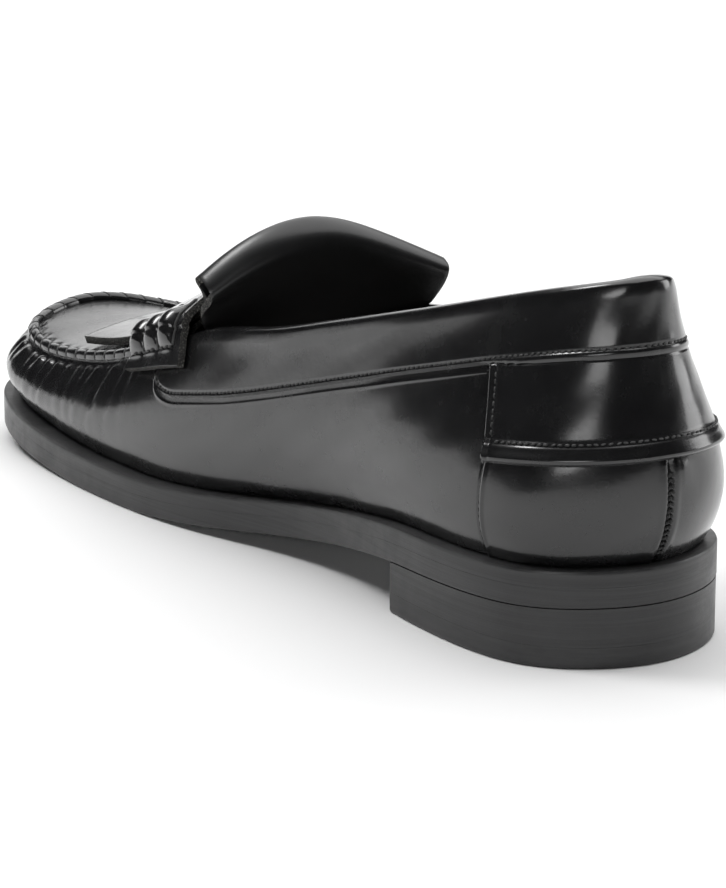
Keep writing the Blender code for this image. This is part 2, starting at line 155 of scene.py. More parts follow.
def seatHeight(y):
    # underside of the outsole: heel seat, arch, flat tread, toe spring
    y = np.asarray(y, float)
    seatBack = last["heelHeight"] - last["outsole"] - last["midsole"] - last["gap"]
    along = y / last["soleLength"]
    breast = last["heelLength"] / last["soleLength"]
    seat = seatBack - last["seatDrop"] * along / breast
    s = (last["treadStart"] - along) / (last["treadStart"] - breast)
    inArch = np.maximum(s, 1e-6)
    arch = (seatBack - last["seatDrop"]) * inArch ** last["archPower"]
    arch = arch * (1.0 + last["archSwell"] * np.sin(np.pi * np.minimum(inArch, 1.0)))
    blend = last["seatBlend"]
    low = np.minimum(seat, arch)
    soft = low - blend * np.log(np.exp((low - seat) / blend) + np.exp((low - arch) / blend))
    soft = np.maximum(soft + blend * np.log(1.0 + np.exp(-seat / blend)), 0.0)
    pastTread = np.maximum(along - last["treadEnd"], 0.0) / (1.0 - last["treadEnd"])
    spring = last["toeSpring"] * pastTread ** last["springPower"]
    return np.where(s > 0.0, soft, spring)


def soleTop(y):
    return seatHeight(y) + last["outsole"] + last["gap"] + last["midsole"]


def outline(at, inset):
    at = np.asarray(at, float)
    run = readCurve(lastCurve, at + 0.02)[..., :2] - readCurve(lastCurve, at - 0.02)[..., :2]
    run = run / np.linalg.norm(run, axis=-1, keepdims=True)
    inward = np.stack((run[..., 1], -run[..., 0]), -1)
    return readCurve(lastCurve, at)[..., :2] + inward * np.asarray(inset, float)[..., None]


def outward(at):
    step = outline(at, np.full(np.shape(at), -1.0)) - outline(at, np.zeros(np.shape(at)))
    return np.concatenate((step, np.zeros(step.shape[:-1] + (1,))), -1)


def wallBase(at, share):
    # the upper's outer wall without seams, from the sole (0) to the top (1)
    at, share = np.broadcast_arrays(np.asarray(at, float), np.asarray(share, float))
    row = readCurve(lastCurve, at)
    footXy = outline(at, row[..., tuckColumn])
    foot = np.concatenate((footXy, (soleTop(footXy[..., 1]) + last["gap"])[..., None]), -1)
    top = row[..., 2:5]
    out = outward(at)
    rise = (top - foot)[..., 2:3]
    lean = -np.sum((top - foot) * out, -1, keepdims=True)
    swell = out * rise + upwards * np.maximum(lean, 0.0)
    swell = swell / np.linalg.norm(swell, axis=-1, keepdims=True)
    fall = row[..., fallColumn]
    peak = fall ** fall / (1.0 + fall) ** (1.0 + fall)
    profile = share * np.maximum(1.0 - share, 0.0) ** fall / peak
    return foot + (top - foot) * share[..., None] + swell * (row[..., bulgeColumn] * profile)[..., None]


def wallNormal(at, share):
    up = wallBase(at, share + 0.004) - wallBase(at, share - 0.004)
    on = wallBase(at + 0.008, share) - wallBase(at - 0.008, share)
    n = np.cross(up, on)
    return n / np.linalg.norm(n, axis=-1, keepdims=True)


def apronBase(at, across):
    at, across = np.broadcast_arrays(np.asarray(at, float), np.asarray(across, float))
    left = wallBase(at, 1.0)
    right = wallBase(ring - at, 1.0)
    crown = readCurve(lastCurve, at)[..., crownColumn] * (1.0 - across ** 2)
    return (left + right) / 2.0 + (right - left) / 2.0 * across[..., None] + upwards * crown[..., None]


# lengths along the collar and rim, and up the wall, read from tables
tableAt = np.linspace(0.0, ring, ring * 40 + 1)
rimPath = wallBase(tableAt, 1.0)
rimTable = np.concatenate(((0.0,), np.cumsum(np.linalg.norm(np.diff(rimPath, axis=0), axis=1))))
wallPaths = wallBase(tableAt[:, None], np.linspace(0, 1, 25)[None])
wallTable = np.linalg.norm(np.diff(wallPaths, axis=1), axis=2).sum(1)


def rimAlong(at):
    return np.interp(np.asarray(at) % ring, tableAt, rimTable)


def wallHeight(at):
    return np.interp(np.asarray(at) % ring, tableAt, wallTable)


def place(points):
    # millimetres from the back of the heel, to metres from the middle of the heel
    return (np.asarray(points, float) - (0.0, last["heelRadius"], 0.0)) * 0.001


# making meshes
def gridMesh(points, paint=None):
    # a grid of faces shaped to points[row][column], with joined ends where they meet
    rows, columns = points.shape[:2]
    bm = bmesh.new()
    bmesh.ops.create_grid(bm, x_segments=columns - 1, y_segments=rows - 1, size=1.0)
    spot = place(points)
    for v in bm.verts:
        i = round((v.co.y + 1.0) * 0.5 * (rows - 1))
        j = round((v.co.x + 1.0) * 0.5 * (columns - 1))
        v.co = Vector(spot[i, j])
        v.index = i * columns + j
    if paint is not None:
        for face in bm.faces:
            low = min(v.index for v in face.verts)
            face.material_index = paint(low // columns, min(v.index % columns for v in face.verts))
    bmesh.ops.remove_doubles(bm, verts=bm.verts, dist=2e-6)
    bmesh.ops.dissolve_degenerate(bm, edges=bm.edges, dist=1e-7)
    return bm


def joinMesh(bm, other):
    mesh = bpy.data.meshes.new("part")
    other.to_mesh(mesh)
    other.free()
    bm.from_mesh(mesh)
    bpy.data.meshes.remove(mesh)


def addObject(name, data, spot=None, ahead=None):
    # pieces stay at the origin, lamps and the camera look ahead from their spot
    made = bpy.data.objects.new(name, data)
    if ahead is not None:
        made.location = spot
        made.rotation_mode = "QUATERNION"
        made.rotation_quaternion = ahead.to_track_quat("-Z", "Y")
    bpy.context.scene.collection.objects.link(made)
    return made


def addPiece(name, bm, materials, replaced=(), sharp=35.0, sheet=False):
    # closed pieces face outwards, and an open sheet faces up
    bmesh.ops.recalc_face_normals(bm, faces=bm.faces)
    if sheet and sum(f.normal.z * f.calc_area() for f in bm.faces) < 0.0:
        bmesh.ops.reverse_faces(bm, faces=bm.faces)
    mesh = bpy.data.meshes.new(name)
    bm.to_mesh(mesh)
    bm.free()
    mesh.shade_smooth()
    mesh.set_sharp_from_angle(angle=math.radians(sharp))
    for material in materials:
        mesh.materials.append(material)
    piece = addObject(name, mesh)
    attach(piece, "root")
    if replaced:
        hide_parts(*replaced)
    print("made", name, len(mesh.polygons), "faces")
    return piece


def thicken(piece, thickness, offset=-1.0, bevel=0.0, even=True):
    solidify = piece.modifiers.new("thickness", "SOLIDIFY")
    solidify.thickness = thickness * 0.001
    solidify.offset = offset
    solidify.material_offset_rim = 1
    solidify.use_even_offset = even
    if bevel:
        edge = piece.modifiers.new("edge", "BEVEL")
        edge.width = bevel * 0.001
        edge.segments = 2
        edge.limit_method = "ANGLE"
        edge.angle_limit = math.radians(50.0)
        edge.harden_normals = False


def addStitches(bm, path, normals, pitch, length, radius, lift, slant, seed):
    # short lengths of thread laid end to end along a line on the leather
    rng = np.random.default_rng(seed)
    steps = np.concatenate(((0.0,), np.cumsum(np.linalg.norm(np.diff(path, axis=0), axis=1))))

    def onLine(s, values):
        return np.array([np.interp(s, steps, values[:, a]) for a in range(3)])

    for k in range(int(steps[-1] / pitch)):
        s = (k + 0.5) * pitch + rng.uniform(-0.12, 0.12) * pitch
        n = onLine(s, normals)
        n /= np.linalg.norm(n)
        t = onLine(s + 0.4, path) - onLine(s - 0.4, path)
        t -= n * np.dot(t, n)
        t /= np.linalg.norm(t)
        side = np.cross(n, t)
        turn = slant + rng.uniform(-0.22, 0.22)
        t, side = t * math.cos(turn) + side * math.sin(turn), side * math.cos(turn) - t * math.sin(turn)
        thick = radius * rng.uniform(0.8, 1.15) * 0.001
        columns = (t * length / 2.0 * 0.001, side * thick, n * thick, place(onLine(s, path) + n * lift))
        shape = Matrix([[column[a] for column in columns] for a in range(3)] + [(0.0, 0.0, 0.0, 1.0)])
        bmesh.ops.create_uvsphere(bm, u_segments=8, v_segments=5, radius=1.0, matrix=shape)


def tubeGrid(path, radius, sides, normals):
    # points of a round thread along a path, its ends drawn to a point
    path = np.asarray(path, float)
    run = np.gradient(path, axis=0)
    run /= np.linalg.norm(run, axis=1, keepdims=True)
    side = np.cross(run, normals)
    side /= np.linalg.norm(side, axis=1, keepdims=True)
    n = np.cross(side, run)
    turn = np.linspace(0.0, 2.0 * np.pi, sides + 1)
    r = np.full(len(path), float(radius))
    r[0] = r[-1] = 0.02
    return (path[:, None] + side[:, None] * np.cos(turn)[None, :, None] * r[:, None, None]
            + n[:, None] * np.sin(turn)[None, :, None] * r[:, None, None])


# materials
def newMaterial(name):
    material = bpy.data.materials.new(name)
    material.use_nodes = True
    nodes = material.node_tree.nodes
    return material, nodes, material.node_tree.links, nodes["Principled BSDF"]


def addNode(nodes, kind, **values):
    node = nodes.new(kind)
    for key, value in values.items():
        if key in node.inputs:
            node.inputs[key].default_value = value
        else:
            setattr(node, key, value)
    return node


def addTexture(nodes, links, kind, **values):
    # a procedural texture laid over the piece by its Object coordinates
    texture = addNode(nodes, kind, **values)
    spot = nodes.get("Texture Coordinate") or nodes.new("ShaderNodeTexCoord")
    links.new(spot.outputs["Object"], texture.inputs["Vector"])
    return texture


def addBump(nodes, links, source, strength, distance):
    relief = addNode(nodes, "ShaderNodeBump", Strength=strength, Distance=distance)
    links.new(source, relief.inputs["Height"])
    return relief


def addRamp(nodes, links, source, stops):
    ramp = nodes.new("ShaderNodeValToRGB")
    for k, (where, colour) in enumerate(stops):
        stop = ramp.color_ramp.elements[k] if k < 2 else ramp.color_ramp.elements.new(where)
        stop.position = where
        stop.color = (*colour, 1.0)
    links.new(source, ramp.inputs["Fac"])
    return ramp.outputs["Color"]


def spreadRoughness(nodes, links, source, low, high, roughness, shader):
    spread = addNode(nodes, "ShaderNodeMapRange")
    ends = {"From Min": low, "From Max": high, "To Min": roughness[0], "To Max": roughness[1]}
    for socket, value in ends.items():
        spread.inputs[socket].default_value = value
    links.new(source, spread.inputs["Value"])
    links.new(spread.outputs["Result"], shader.inputs["Roughness"])


boxLeather = {
    "dark": (0.0045, 0.0045, 0.0048),
    "light": (0.0085, 0.0085, 0.009),
    "roughness": (0.2, 0.3),
    "toneScale": 55.0,
    "polishScale": 130.0,
    "grainScale": 1150.0,
    "grainHeight": 0.02,
    "creaseScale": 420.0,
    "creaseHeight": 0.024,
    "coat": 0.52,
    "coatRoughness": 0.13,
}


def leatherMaterial(name, look):
    material, nodes, links, shader = newMaterial(name)
    noise, cells = "ShaderNodeTexNoise", "ShaderNodeTexVoronoi"
    tone = addTexture(nodes, links, noise, Scale=look["toneScale"], Detail=4.0, Roughness=0.6)
    colour = addRamp(nodes, links, tone.outputs["Fac"], ((0.35, look["dark"]), (0.7, look["light"])))
    links.new(colour, shader.inputs["Base Color"])
    polish = addTexture(nodes, links, noise, Scale=look["polishScale"], Detail=6.0, Roughness=0.65)
    spreadRoughness(nodes, links, polish.outputs["Fac"], 0.3, 0.7, look["roughness"], shader)
    grain = addTexture(nodes, links, cells, feature="DISTANCE_TO_EDGE", Scale=look["grainScale"])
    wander = addTexture(nodes, links, noise, Scale=look["creaseScale"], Detail=3.0, Roughness=0.55)
    fine = addBump(nodes, links, grain.outputs["Distance"], look["grainHeight"], 0.0004)
    soft = addBump(nodes, links, wander.outputs["Fac"], look["creaseHeight"], 0.0008)
    links.new(soft.outputs["Normal"], fine.inputs["Normal"])
    links.new(fine.outputs["Normal"], shader.inputs["Normal"])
    links.new(soft.outputs["Normal"], shader.inputs["Coat Normal"])
    shader.inputs["Coat Weight"].default_value = look["coat"]
    shader.inputs["Coat Roughness"].default_value = look["coatRoughness"]
    shader.inputs["Specular IOR Level"].default_value = 0.5
    return material


def plainMaterial(name, stops, roughness, tone, dents, strength, distance):
    # colours spread by one texture, dents made by the same or a second one
    material, nodes, links, shader = newMaterial(name)
    spread = addTexture(nodes, links, "ShaderNodeTexNoise", **tone)
    links.new(addRamp(nodes, links, spread.outputs["Fac"], stops), shader.inputs["Base Color"])
    shader.inputs["Roughness"].default_value = roughness
    height = spread.outputs["Fac"]
    if dents:
        height = addTexture(nodes, links, "ShaderNodeTexVoronoi", Scale=dents).outputs["Distance"]
    relief = addBump(nodes, links, height, strength, distance)
    links.new(relief.outputs["Normal"], shader.inputs["Normal"])
    return material


def rawEdgeMaterial():
    # cut edge of the leather: dark, hairy, with paler flecks
    stops = ((0.4, (0.009, 0.009, 0.009)), (0.54, (0.03, 0.029, 0.027)), (0.66, (0.2, 0.195, 0.175)))
    fuzz = {"Scale": 2300.0, "Detail": 4.0, "Roughness": 0.7}
    return plainMaterial("rawLeatherEdge", stops, 0.85, fuzz, 3600.0, 0.7, 0.0003)


def liningMaterial():
    stops = ((0.35, (0.013, 0.011, 0.0095)), (0.7, (0.026, 0.022, 0.019)))
    tone = {"Scale": 90.0, "Detail": 5.0, "Roughness": 0.6}
    return plainMaterial("liningLeather", stops, 0.55, tone, 1400.0, 0.25, 0.0003)


def threadMaterial(name, dark, light, roughness):
    stops = ((0.35, (dark, dark, dark)), (0.7, (light, light, light)))
    twist = {"Scale": 2400.0, "Detail": 3.0, "Roughness": 0.6}
    return plainMaterial(name, stops, roughness, twist, None, 0.5, 0.0002)


soleEdgeLook = {
    "dark": (0.010, 0.010, 0.0105),
    "light": (0.032, 0.032, 0.033),
    "roughness": (0.34, 0.52),
    "fibre": (14.0, 14.0, 1700.0),
    "fibreHeight": 0.32,
    "fibreShare": 0.6,
    "coat": 0.12,
    "coatRoughness": 0.25,
}


def soleMaterial(name, look):
    # stained leather edge with the fine lines of its layers
    material, nodes, links, shader = newMaterial(name)
    stretch = addTexture(nodes, links, "ShaderNodeMapping", Scale=look["fibre"])
    layers = addNode(nodes, "ShaderNodeTexNoise", Scale=1.0, Detail=5.0, Roughness=0.7)
    links.new(stretch.outputs["Vector"], layers.inputs["Vector"])
    blotch = addTexture(nodes, links, "ShaderNodeTexNoise", Scale=120.0, Detail=5.0, Roughness=0.65)
    mixed = addNode(nodes, "ShaderNodeMath", operation="MULTIPLY_ADD")
    mixed.inputs[1].default_value = look["fibreShare"]
    links.new(layers.outputs["Fac"], mixed.inputs[0])
    part = addNode(nodes, "ShaderNodeMath", operation="MULTIPLY")
    part.inputs[1].default_value = 1.0 - look["fibreShare"]
    links.new(blotch.outputs["Fac"], part.inputs[0])
    links.new(part.outputs["Value"], mixed.inputs[2])
    colour = addRamp(nodes, links, mixed.outputs["Value"], ((0.36, look["dark"]), (0.64, look["light"])))
    links.new(colour, shader.inputs["Base Color"])
    spreadRoughness(nodes, links, blotch.outputs["Fac"], 0.35, 0.65, look["roughness"], shader)
    lines = addBump(nodes, links, mixed.outputs["Value"], look["fibreHeight"], 0.0004)
    links.new(lines.outputs["Normal"], shader.inputs["Normal"])
    shader.inputs["Coat Weight"].default_value = look["coat"]
    shader.inputs["Coat Roughness"].default_value = look["coatRoughness"]
    return material


leather = leatherMaterial("boxLeather", boxLeather)
satin = {**boxLeather, "coat": 0.25, "coatRoughness": 0.2, "roughness": (0.3, 0.4)}
tongueLeather = leatherMaterial("tongueLeather", satin)
strapLeather = leatherMaterial("strapLeather", {**boxLeather, "coat": 0.7, "coatRoughness": 0.1})
rawEdge = rawEdgeMaterial()
lining = liningMaterial()
thread = threadMaterial("waxedThread", 0.010, 0.046, 0.42)
heelThread = threadMaterial("heelThread", 0.003, 0.008, 0.6)
soleEdge = soleMaterial("soleEdge", soleEdgeLook)
heelEdge = soleMaterial("heelEdge", {**soleEdgeLook, "fibre": (9.0, 9.0, 1100.0), "fibreHeight": 0.4})
rubberLook = {**soleEdgeLook, "fibre": (60.0, 60.0, 500.0), "fibreHeight": 0.15}
topPiece = soleMaterial("topPieceRubber", rubberLook)
print("materials ready")


# upper
upper = {
    "wall": 1.8,
    "panelStep": 0.8,
    "panelFront": 6.46,
    "panelCorner": 6.08,
    "panelRise": 7.6,
    "sideSeam": 1.95,
    "seamLean": 0.27,
    "stationLength": 31.0,
    "heelStation": 23.0,
    "lipStep": 1.25,
    "lipBack": 0.385,
    "lipSide": 0.36,
    "lipWidth": 4.2,
    "collarRadius": 1.4,
    "collarRoll": 0.7,
    "rollDepth": 4.2,
    "gatherPitch": 5.3,
    "rimFrom": 6.52,
    "creaseLength": (8.0, 16.0),
    "creaseHeight": (0.3, 0.9),
    "creaseLean": 0.22,
    "creaseShift": 0.6,
    # the panel's folded edge: its distance below the stitches in front, and more at the back
    "edgeDrop": (1.1, 1.2),
    "bead": 0.22,
    "stitchGroove": 0.2,
    "pressedLine": (2.9, 0.14),
    # back panel: its thickness, and what is added to that above the lip
    "backPanel": (0.25, 0.45),
    "frontPuff": 0.3,
    "frontGroove": 0.22,
    "frontGap": 0.25,
    "stitchInset": 2.2,
    "lipBead": 0.3,
    # heel seam: depth of the groove, swell beside it, ridge and dimple at its top
    "heelGroove": 0.8,
    "heelSwell": 0.28,
    "pucker": (0.5, 0.3),
    # groove under the rim, and a second one below it
    "underRim": (0.9, 0.3),
    "handPull": 0.07,
    # rows of points: to the lip, round it, to the panel line, round it, above it, at the top
    "rowCounts": (12, 20, 12, 20, 10, 12),
    # how far the close rows reach below and above the lip and the panel line, and below the top
    "lipBand": (2.6, 5.6),
    "panelBand": (4.4, 1.4),
    "topBand": 4.4,
    # widest step between columns of points, in millimetres
    "columnGap": {"toe": 0.62, "side": 1.6, "seam": 0.33, "heel": 0.35, "corner": 0.8},
    # lining: thickness at the collar's edge and below it, and the depths of its rows
    "collarWall": 1.3,
    "liningDepth": 2.3,
    "liningRows": (3.0, 5.0, 8.0, 12.0, 18.0, 26.0, 34.0, 42.0),
}
rimStart, rimStop = rimAlong(upper["rimFrom"]), rimAlong(ring - upper["rimFrom"])
gatherCount = int((rimStop - rimStart) / upper["gatherPitch"])
gatherPitch = (rimStop - rimStart) / gatherCount
gatherRandom = np.random.default_rng(7)
creases = []
for number in range(gatherCount + 1):
    creases.append((
        rimStart + number * gatherPitch + gatherRandom.uniform(-1.0, 1.0) * upper["creaseShift"],
        gatherRandom.uniform(*upper["creaseHeight"]),
        gatherRandom.uniform(*upper["creaseLength"]),
        gatherRandom.uniform(-1.0, 1.0) * upper["creaseLean"],
    ))


def panelLine(at):
    # height of the collar panel's stitched line, as a share of the wall
    side = np.minimum(at % ring, ring - at % ring)
    base = 1.0 - readCurve(lastCurve, at)[..., panelColumn]
    t = np.clip((side - upper["panelCorner"]) / (upper["panelFront"] - upper["panelCorner"]), 0.0, 1.0)
    return base + upper["panelRise"] * (1.0 - np.sqrt(1.0 - (t * 0.995) ** 2)) / wallHeight(at)


def lipLine(at):
    side = np.minimum(at % ring, ring - at % ring)
    return upper["lipBack"] + (upper["lipSide"] - upper["lipBack"]) * ease(side / upper["sideSeam"])


def sideSeamAt(at, share):
    lip, panel = lipLine(at), 1.0 - readCurve(lastCurve, at)[..., panelColumn]
    return upper["sideSeam"] + upper["seamLean"] * np.clip((share - lip) / (panel - lip), 0.0, 1.2)


def wallRelief(at, share):
    at, share = np.broadcast_arrays(np.asarray(at, float), np.asarray(share, float))
    around = at % ring
    side = np.minimum(around, ring - around)
    height = wallHeight(at)
    up = share * height
    down = height - up
    above = up - panelLine(at) * height
    overLip = up - lipLine(at) * height
    pastSeam = (side - sideSeamAt(at, share)) * upper["stationLength"]
    onBack = 1.0 - ease((pastSeam + 0.25) / 0.5)
    onCollar = 1.0 - ease((side - upper["panelFront"]) / 0.05)
    inFront, moreBehind = upper["edgeDrop"]
    edgeDrop = inFront + moreBehind * (1.0 - ease((side - upper["sideSeam"] + 0.2) / 0.6))
    # collar panel: edge, rounded bead, stitch groove, pressed line of the piece below
    relief = onCollar * upper["panelStep"] * ease((above + edgeDrop) / 0.35)
    relief += onCollar * upper["bead"] * bump(above + edgeDrop * 0.45, edgeDrop * 0.36)
    relief -= onCollar * upper["stitchGroove"] * bump(above, 0.35)
    pressedAt, pressed = upper["pressedLine"]
    relief += onCollar * (1.0 - onBack) * pressed * bump(above + pressedAt, 0.35)
    # back panel with its folded front edge and the seam beside it
    belowPanel = 1.0 - ease((above + edgeDrop + 0.2) / 0.4)
    overTheLip = ease((overLip + 0.2) / 0.8)
    thin, thick = upper["backPanel"]
    relief += belowPanel * onBack * (thin + thick * overTheLip)
    relief += belowPanel * upper["frontPuff"] * bump(pastSeam + 0.9, 0.5)
    stitched = bump(pastSeam + upper["stitchInset"], 0.35) * overTheLip
    relief -= belowPanel * upper["frontGroove"] * stitched
    relief -= belowPanel * upper["frontGap"] * bump(pastSeam - 0.35, 0.3)
    # turned lip round the heel
    onLip = 1.0 - ease((pastSeam - 0.2) / 0.9)
    lip = ease((overLip + 0.5) / 0.5) * (1.0 - 0.5 * ease(overLip / 3.4))
    lip = upper["lipStep"] * lip * (1.0 - ease((overLip - 3.2) / 0.9))
    relief += onLip * (lip + upper["lipBead"] * bump(overLip - upper["lipWidth"], 0.5))
    # butt seam down the middle of the heel, puckered at its top
    fromBack = np.where(around < toeStation, around, around - ring) * upper["heelStation"]
    low = 1.0 - ease((overLip + 1.4) / 0.9)
    relief -= low * upper["heelGroove"] * bump(fromBack, 0.5)
    relief += low * upper["heelSwell"] * bump(np.abs(fromBack) - 1.5, 0.8)
    ridge, dimple = upper["pucker"]
    relief += low * ridge * bump(fromBack + 3.6, 2.2) * bump(overLip + 4.0, 3.2)
    relief -= low * dimple * bump(fromBack + 7.4, 2.4) * bump(overLip + 3.4, 3.4)
    # the collar's edge is folded over and rounds in to the lining
    radius = upper["collarRadius"]
    roundIn = radius - np.sqrt(np.maximum(radius ** 2 - np.maximum(radius - down, 0.0) ** 2, 0.0))
    roundIn = roundIn + upper["collarRoll"] * np.maximum(1.0 - down / upper["rollDepth"], 0.0) ** 2
    relief -= np.where(side < upper["rimFrom"] + 0.2, roundIn, 0.0)
    # gathers under the apron's rim
    onToe = ease((side - upper["rimFrom"]) / 0.2)
    deep, shallow = upper["underRim"]
    relief -= onToe * (deep * bump(down, 1.3) + shallow * bump(down - 2.6, 0.8))
    along = rimAlong(at)
    folds = np.zeros(at.shape)
    for where, tall, length, leaning in creases:
        off = along - where - leaning * down
        fade = np.exp(-np.maximum(down - 3.0, 0.0) / (length * 0.45)) * ease((down - 2.2) / 1.6)
        folds += fade * tall * (bump(off, 2.0) - 0.8 * bump(off - 2.65, 1.4))
    relief += onToe * folds
    # hand-pulled leather is never quite even
    relief += upper["handPull"] * np.sin(at * 7.3 + up * 0.21) * np.sin(up * 0.33 + at * 2.1)
    return relief


def wallSkin(at, share):
    n = wallNormal(at, share)
    return wallBase(at, share) + n * wallRelief(at, share)[..., None], n


def wallStations():
    # columns close together round the gathers and at the seams
    fine = np.linspace(0.0, ring, 8801)
    side = np.minimum(fine, ring - fine)
    path = wallBase(fine, 0.7)
    step = np.linalg.norm(np.diff(path, axis=0), axis=1)
    gap = upper["columnGap"]
    spacing = np.where(side > upper["rimFrom"], gap["toe"], gap["side"])
    seamMiddle = upper["sideSeam"] + upper["seamLean"] / 2.0
    spacing = np.where(np.abs(side - seamMiddle) < 0.25, gap["seam"], spacing)
    spacing = np.where(side < 0.16, gap["heel"], spacing)
    spacing = np.where(np.abs(side - 6.3) < 0.2, gap["corner"], spacing)
    load = np.concatenate(((0.0,), np.cumsum(step / spacing[:-1])))
    count = int(load[-1])
    return np.interp(np.arange(count + 1) * load[-1] / count, load, fine)


def wallRows(at):
    # heights of the rows up the wall, in millimetres, close together at each seam
    height = wallHeight(at)
    panel, lip = panelLine(at) * height, lipLine(at) * height
    underLip, overLip = upper["lipBand"]
    underPanel, overPanel = upper["panelBand"]
    stops = (0.0 * height, lip - underLip, lip + overLip, panel - underPanel, panel + overPanel,
             height - upper["topBand"], height)
    rows = []
    for low, high, count in zip(stops, stops[1:], upper["rowCounts"]):
        for k in range(count):
            rows.append(low + (high - low) * k / count)
    rows.append(height)
    return np.maximum.accumulate(np.stack(rows, -1), axis=-1)


def makeWall():
    at = wallStations()
    rows = wallRows(at)
    share = rows / wallHeight(at)[:, None]
    outer, _ = wallSkin(at[:, None], share)
    topNormal = wallNormal(at, np.full(at.shape, 1.0))
    radius = upper["collarRadius"] + upper["collarRoll"]
    wall = upper["collarWall"]
    over = []
    for turn in (0.25, 0.5, 0.75, 1.0):
        angle = turn * math.pi / 2.0
        depth = radius + wall * math.sin(angle)
        drop = wall * (1.0 - math.cos(angle))
        spot = wallBase(at, 1.0 - drop / wallHeight(at))
        over.append(spot - topNormal * depth)
    inner = []
    for downTo in upper["liningRows"]:
        wanted = np.maximum(1.0 - downTo / wallHeight(at), 0.003 * (50.0 - downTo))
        deep = upper["liningDepth"] + 0.9 * math.exp(-((downTo - wall) / 3.0) ** 2)
        inner.append(wallBase(at, wanted) - wallNormal(at, wanted) * deep)
    foot = wallBase(at, np.zeros(at.shape)) - wallNormal(at, np.full(at.shape, 0.01)) * upper["wall"]
    points = np.concatenate((
        outer,
        np.stack(over, 1),
        np.stack(inner, 1),
        foot[:, None],
        outer[:, :1],
    ), 1)
    points[-1] = points[0]
    outerCount = rows.shape[1]
    bm = gridMesh(points, lambda i, j: 0 if j < outerCount + 3 else 1)
    addPiece("upperWall", bm, [leather, lining], ("upper",), sharp=55.0)


makeWall()

apron = {
    "from": 6.30,
    "tipFrom": 10.6,
    "thickness": 1.4,
    "dip": 0.5,
    "scallop": 0.35,
}


def makeApron():
    tip = apron["tipFrom"]
    closing = 1.0 - (1.0 - np.linspace(0.02, 1, 50)) ** 1.6
    at = np.concatenate((np.linspace(apron["from"], tip, 150), tip + (toeStation - tip) * closing))
    across = np.sin(np.linspace(-1.0, 1.0, 121) * math.pi / 2.0)
    points = apronBase(at[:, None], across[None])
    width = np.linalg.norm(points[:, -1] - points[:, 0], axis=1)
    fromEdge = (1.0 - np.abs(across))[None] * width[:, None] / 2.0
    along = np.where(across[None] < 0, rimAlong(at)[:, None], rimAlong(ring - at)[:, None])
    cell = (along - rimStart) / gatherPitch
    scallop = apron["scallop"] * np.abs(np.sin(np.pi * cell)) * bump(fromEdge - 3.2, 1.1)
    points[..., 2] += scallop - apron["dip"] * bump(fromEdge - 2.6, 1.6)
    piece = addPiece("apron", gridMesh(points), [leather, rawEdge], sheet=True)
    thicken(piece, apron["thickness"], even=False)


makeApron()

rim = {
    "inward": 0.75,
    "rise": -0.15,
    "halfWidth": 1.75,
    "halfHeight": 1.85,
    "groove": 0.17,
    "uneven": 0.09,
    "lean": 0.3,
    "thread": 0.3,
    "stepsPerGather": 12,
    "sides": 20,
    "firstTurn": -0.9,
}
rimSizes = np.random.default_rng(17).uniform(0.0, 1.0, gatherCount + 1)


def rimPoint(at, turn, cell, extra=0.0):
    # turn runs from the outer side (0) over the top (pi / 2) to the inner side (pi), and
    # cell counts the whip stitches
    out = outward(at)
    middle = wallBase(at, 1.0) - out * rim["inward"] + upwards * rim["rise"]
    phase = cell + rim["lean"] * np.cos(turn)
    puff = np.abs(np.sin(np.pi * phase)) ** 0.4
    own = rimSizes[np.clip(np.floor(phase).astype(int), 0, gatherCount)]
    size = 1.0 - rim["groove"] * (1.0 - puff) - rim["uneven"] * own * puff + extra
    return (middle + out * (np.cos(turn) * rim["halfWidth"] * size)[..., None]
            + upwards * (np.sin(turn) * rim["halfHeight"] * size)[..., None])


def rimStation(along):
    return np.interp(along, rimTable, tableAt)


def makeRim():
    count = gatherCount * rim["stepsPerGather"]
    cell = np.arange(count + 1) / rim["stepsPerGather"]
    at = rimStation(rimStart + cell * gatherPitch)
    turn = rim["firstTurn"] + np.linspace(0.0, 2.0 * np.pi, rim["sides"] + 1)
    bm = gridMesh(rimPoint(at[:, None], turn[None], cell[:, None]))
    addPiece("apronRim", bm, [leather], sharp=70.0)
    bm = bmesh.new()
    for number in range(gatherCount):
        turns = np.linspace(-0.5, 2.7, 9)
        cellHere = number - rim["lean"] * np.cos(turns)
        at = rimStation(rimStart + cellHere * gatherPitch)
        path = rimPoint(at, turns, cellHere, 0.02)
        n = path - wallBase(at, 1.0) + outward(at) * rim["inward"]
        joinMesh(bm, gridMesh(tubeGrid(path, rim["thread"], 6, n)))
    addPiece("rimThread", bm, [thread], sharp=80.0)


makeRim()

# seams
seams = {
    # pitch, length and radius of the stitches
    "panel": (1.6, 1.3, 0.3),
    "side": (1.7, 1.5, 0.24),
    "heel": (1.35, 1.3, 0.46),
    "strap": (2.3, 1.9, 0.3),
    # from the heel's middle line, and the slant of each row
    "heelRows": ((-0.45, 0.9), (0.45, -0.8), (0.0, 0.2)),
}


def addSeam(bm, at, share, kind, lift, slant, seed):
    path, n = wallSkin(at, share)
    addStitches(bm, path, n, *seams[kind], lift, slant, seed)


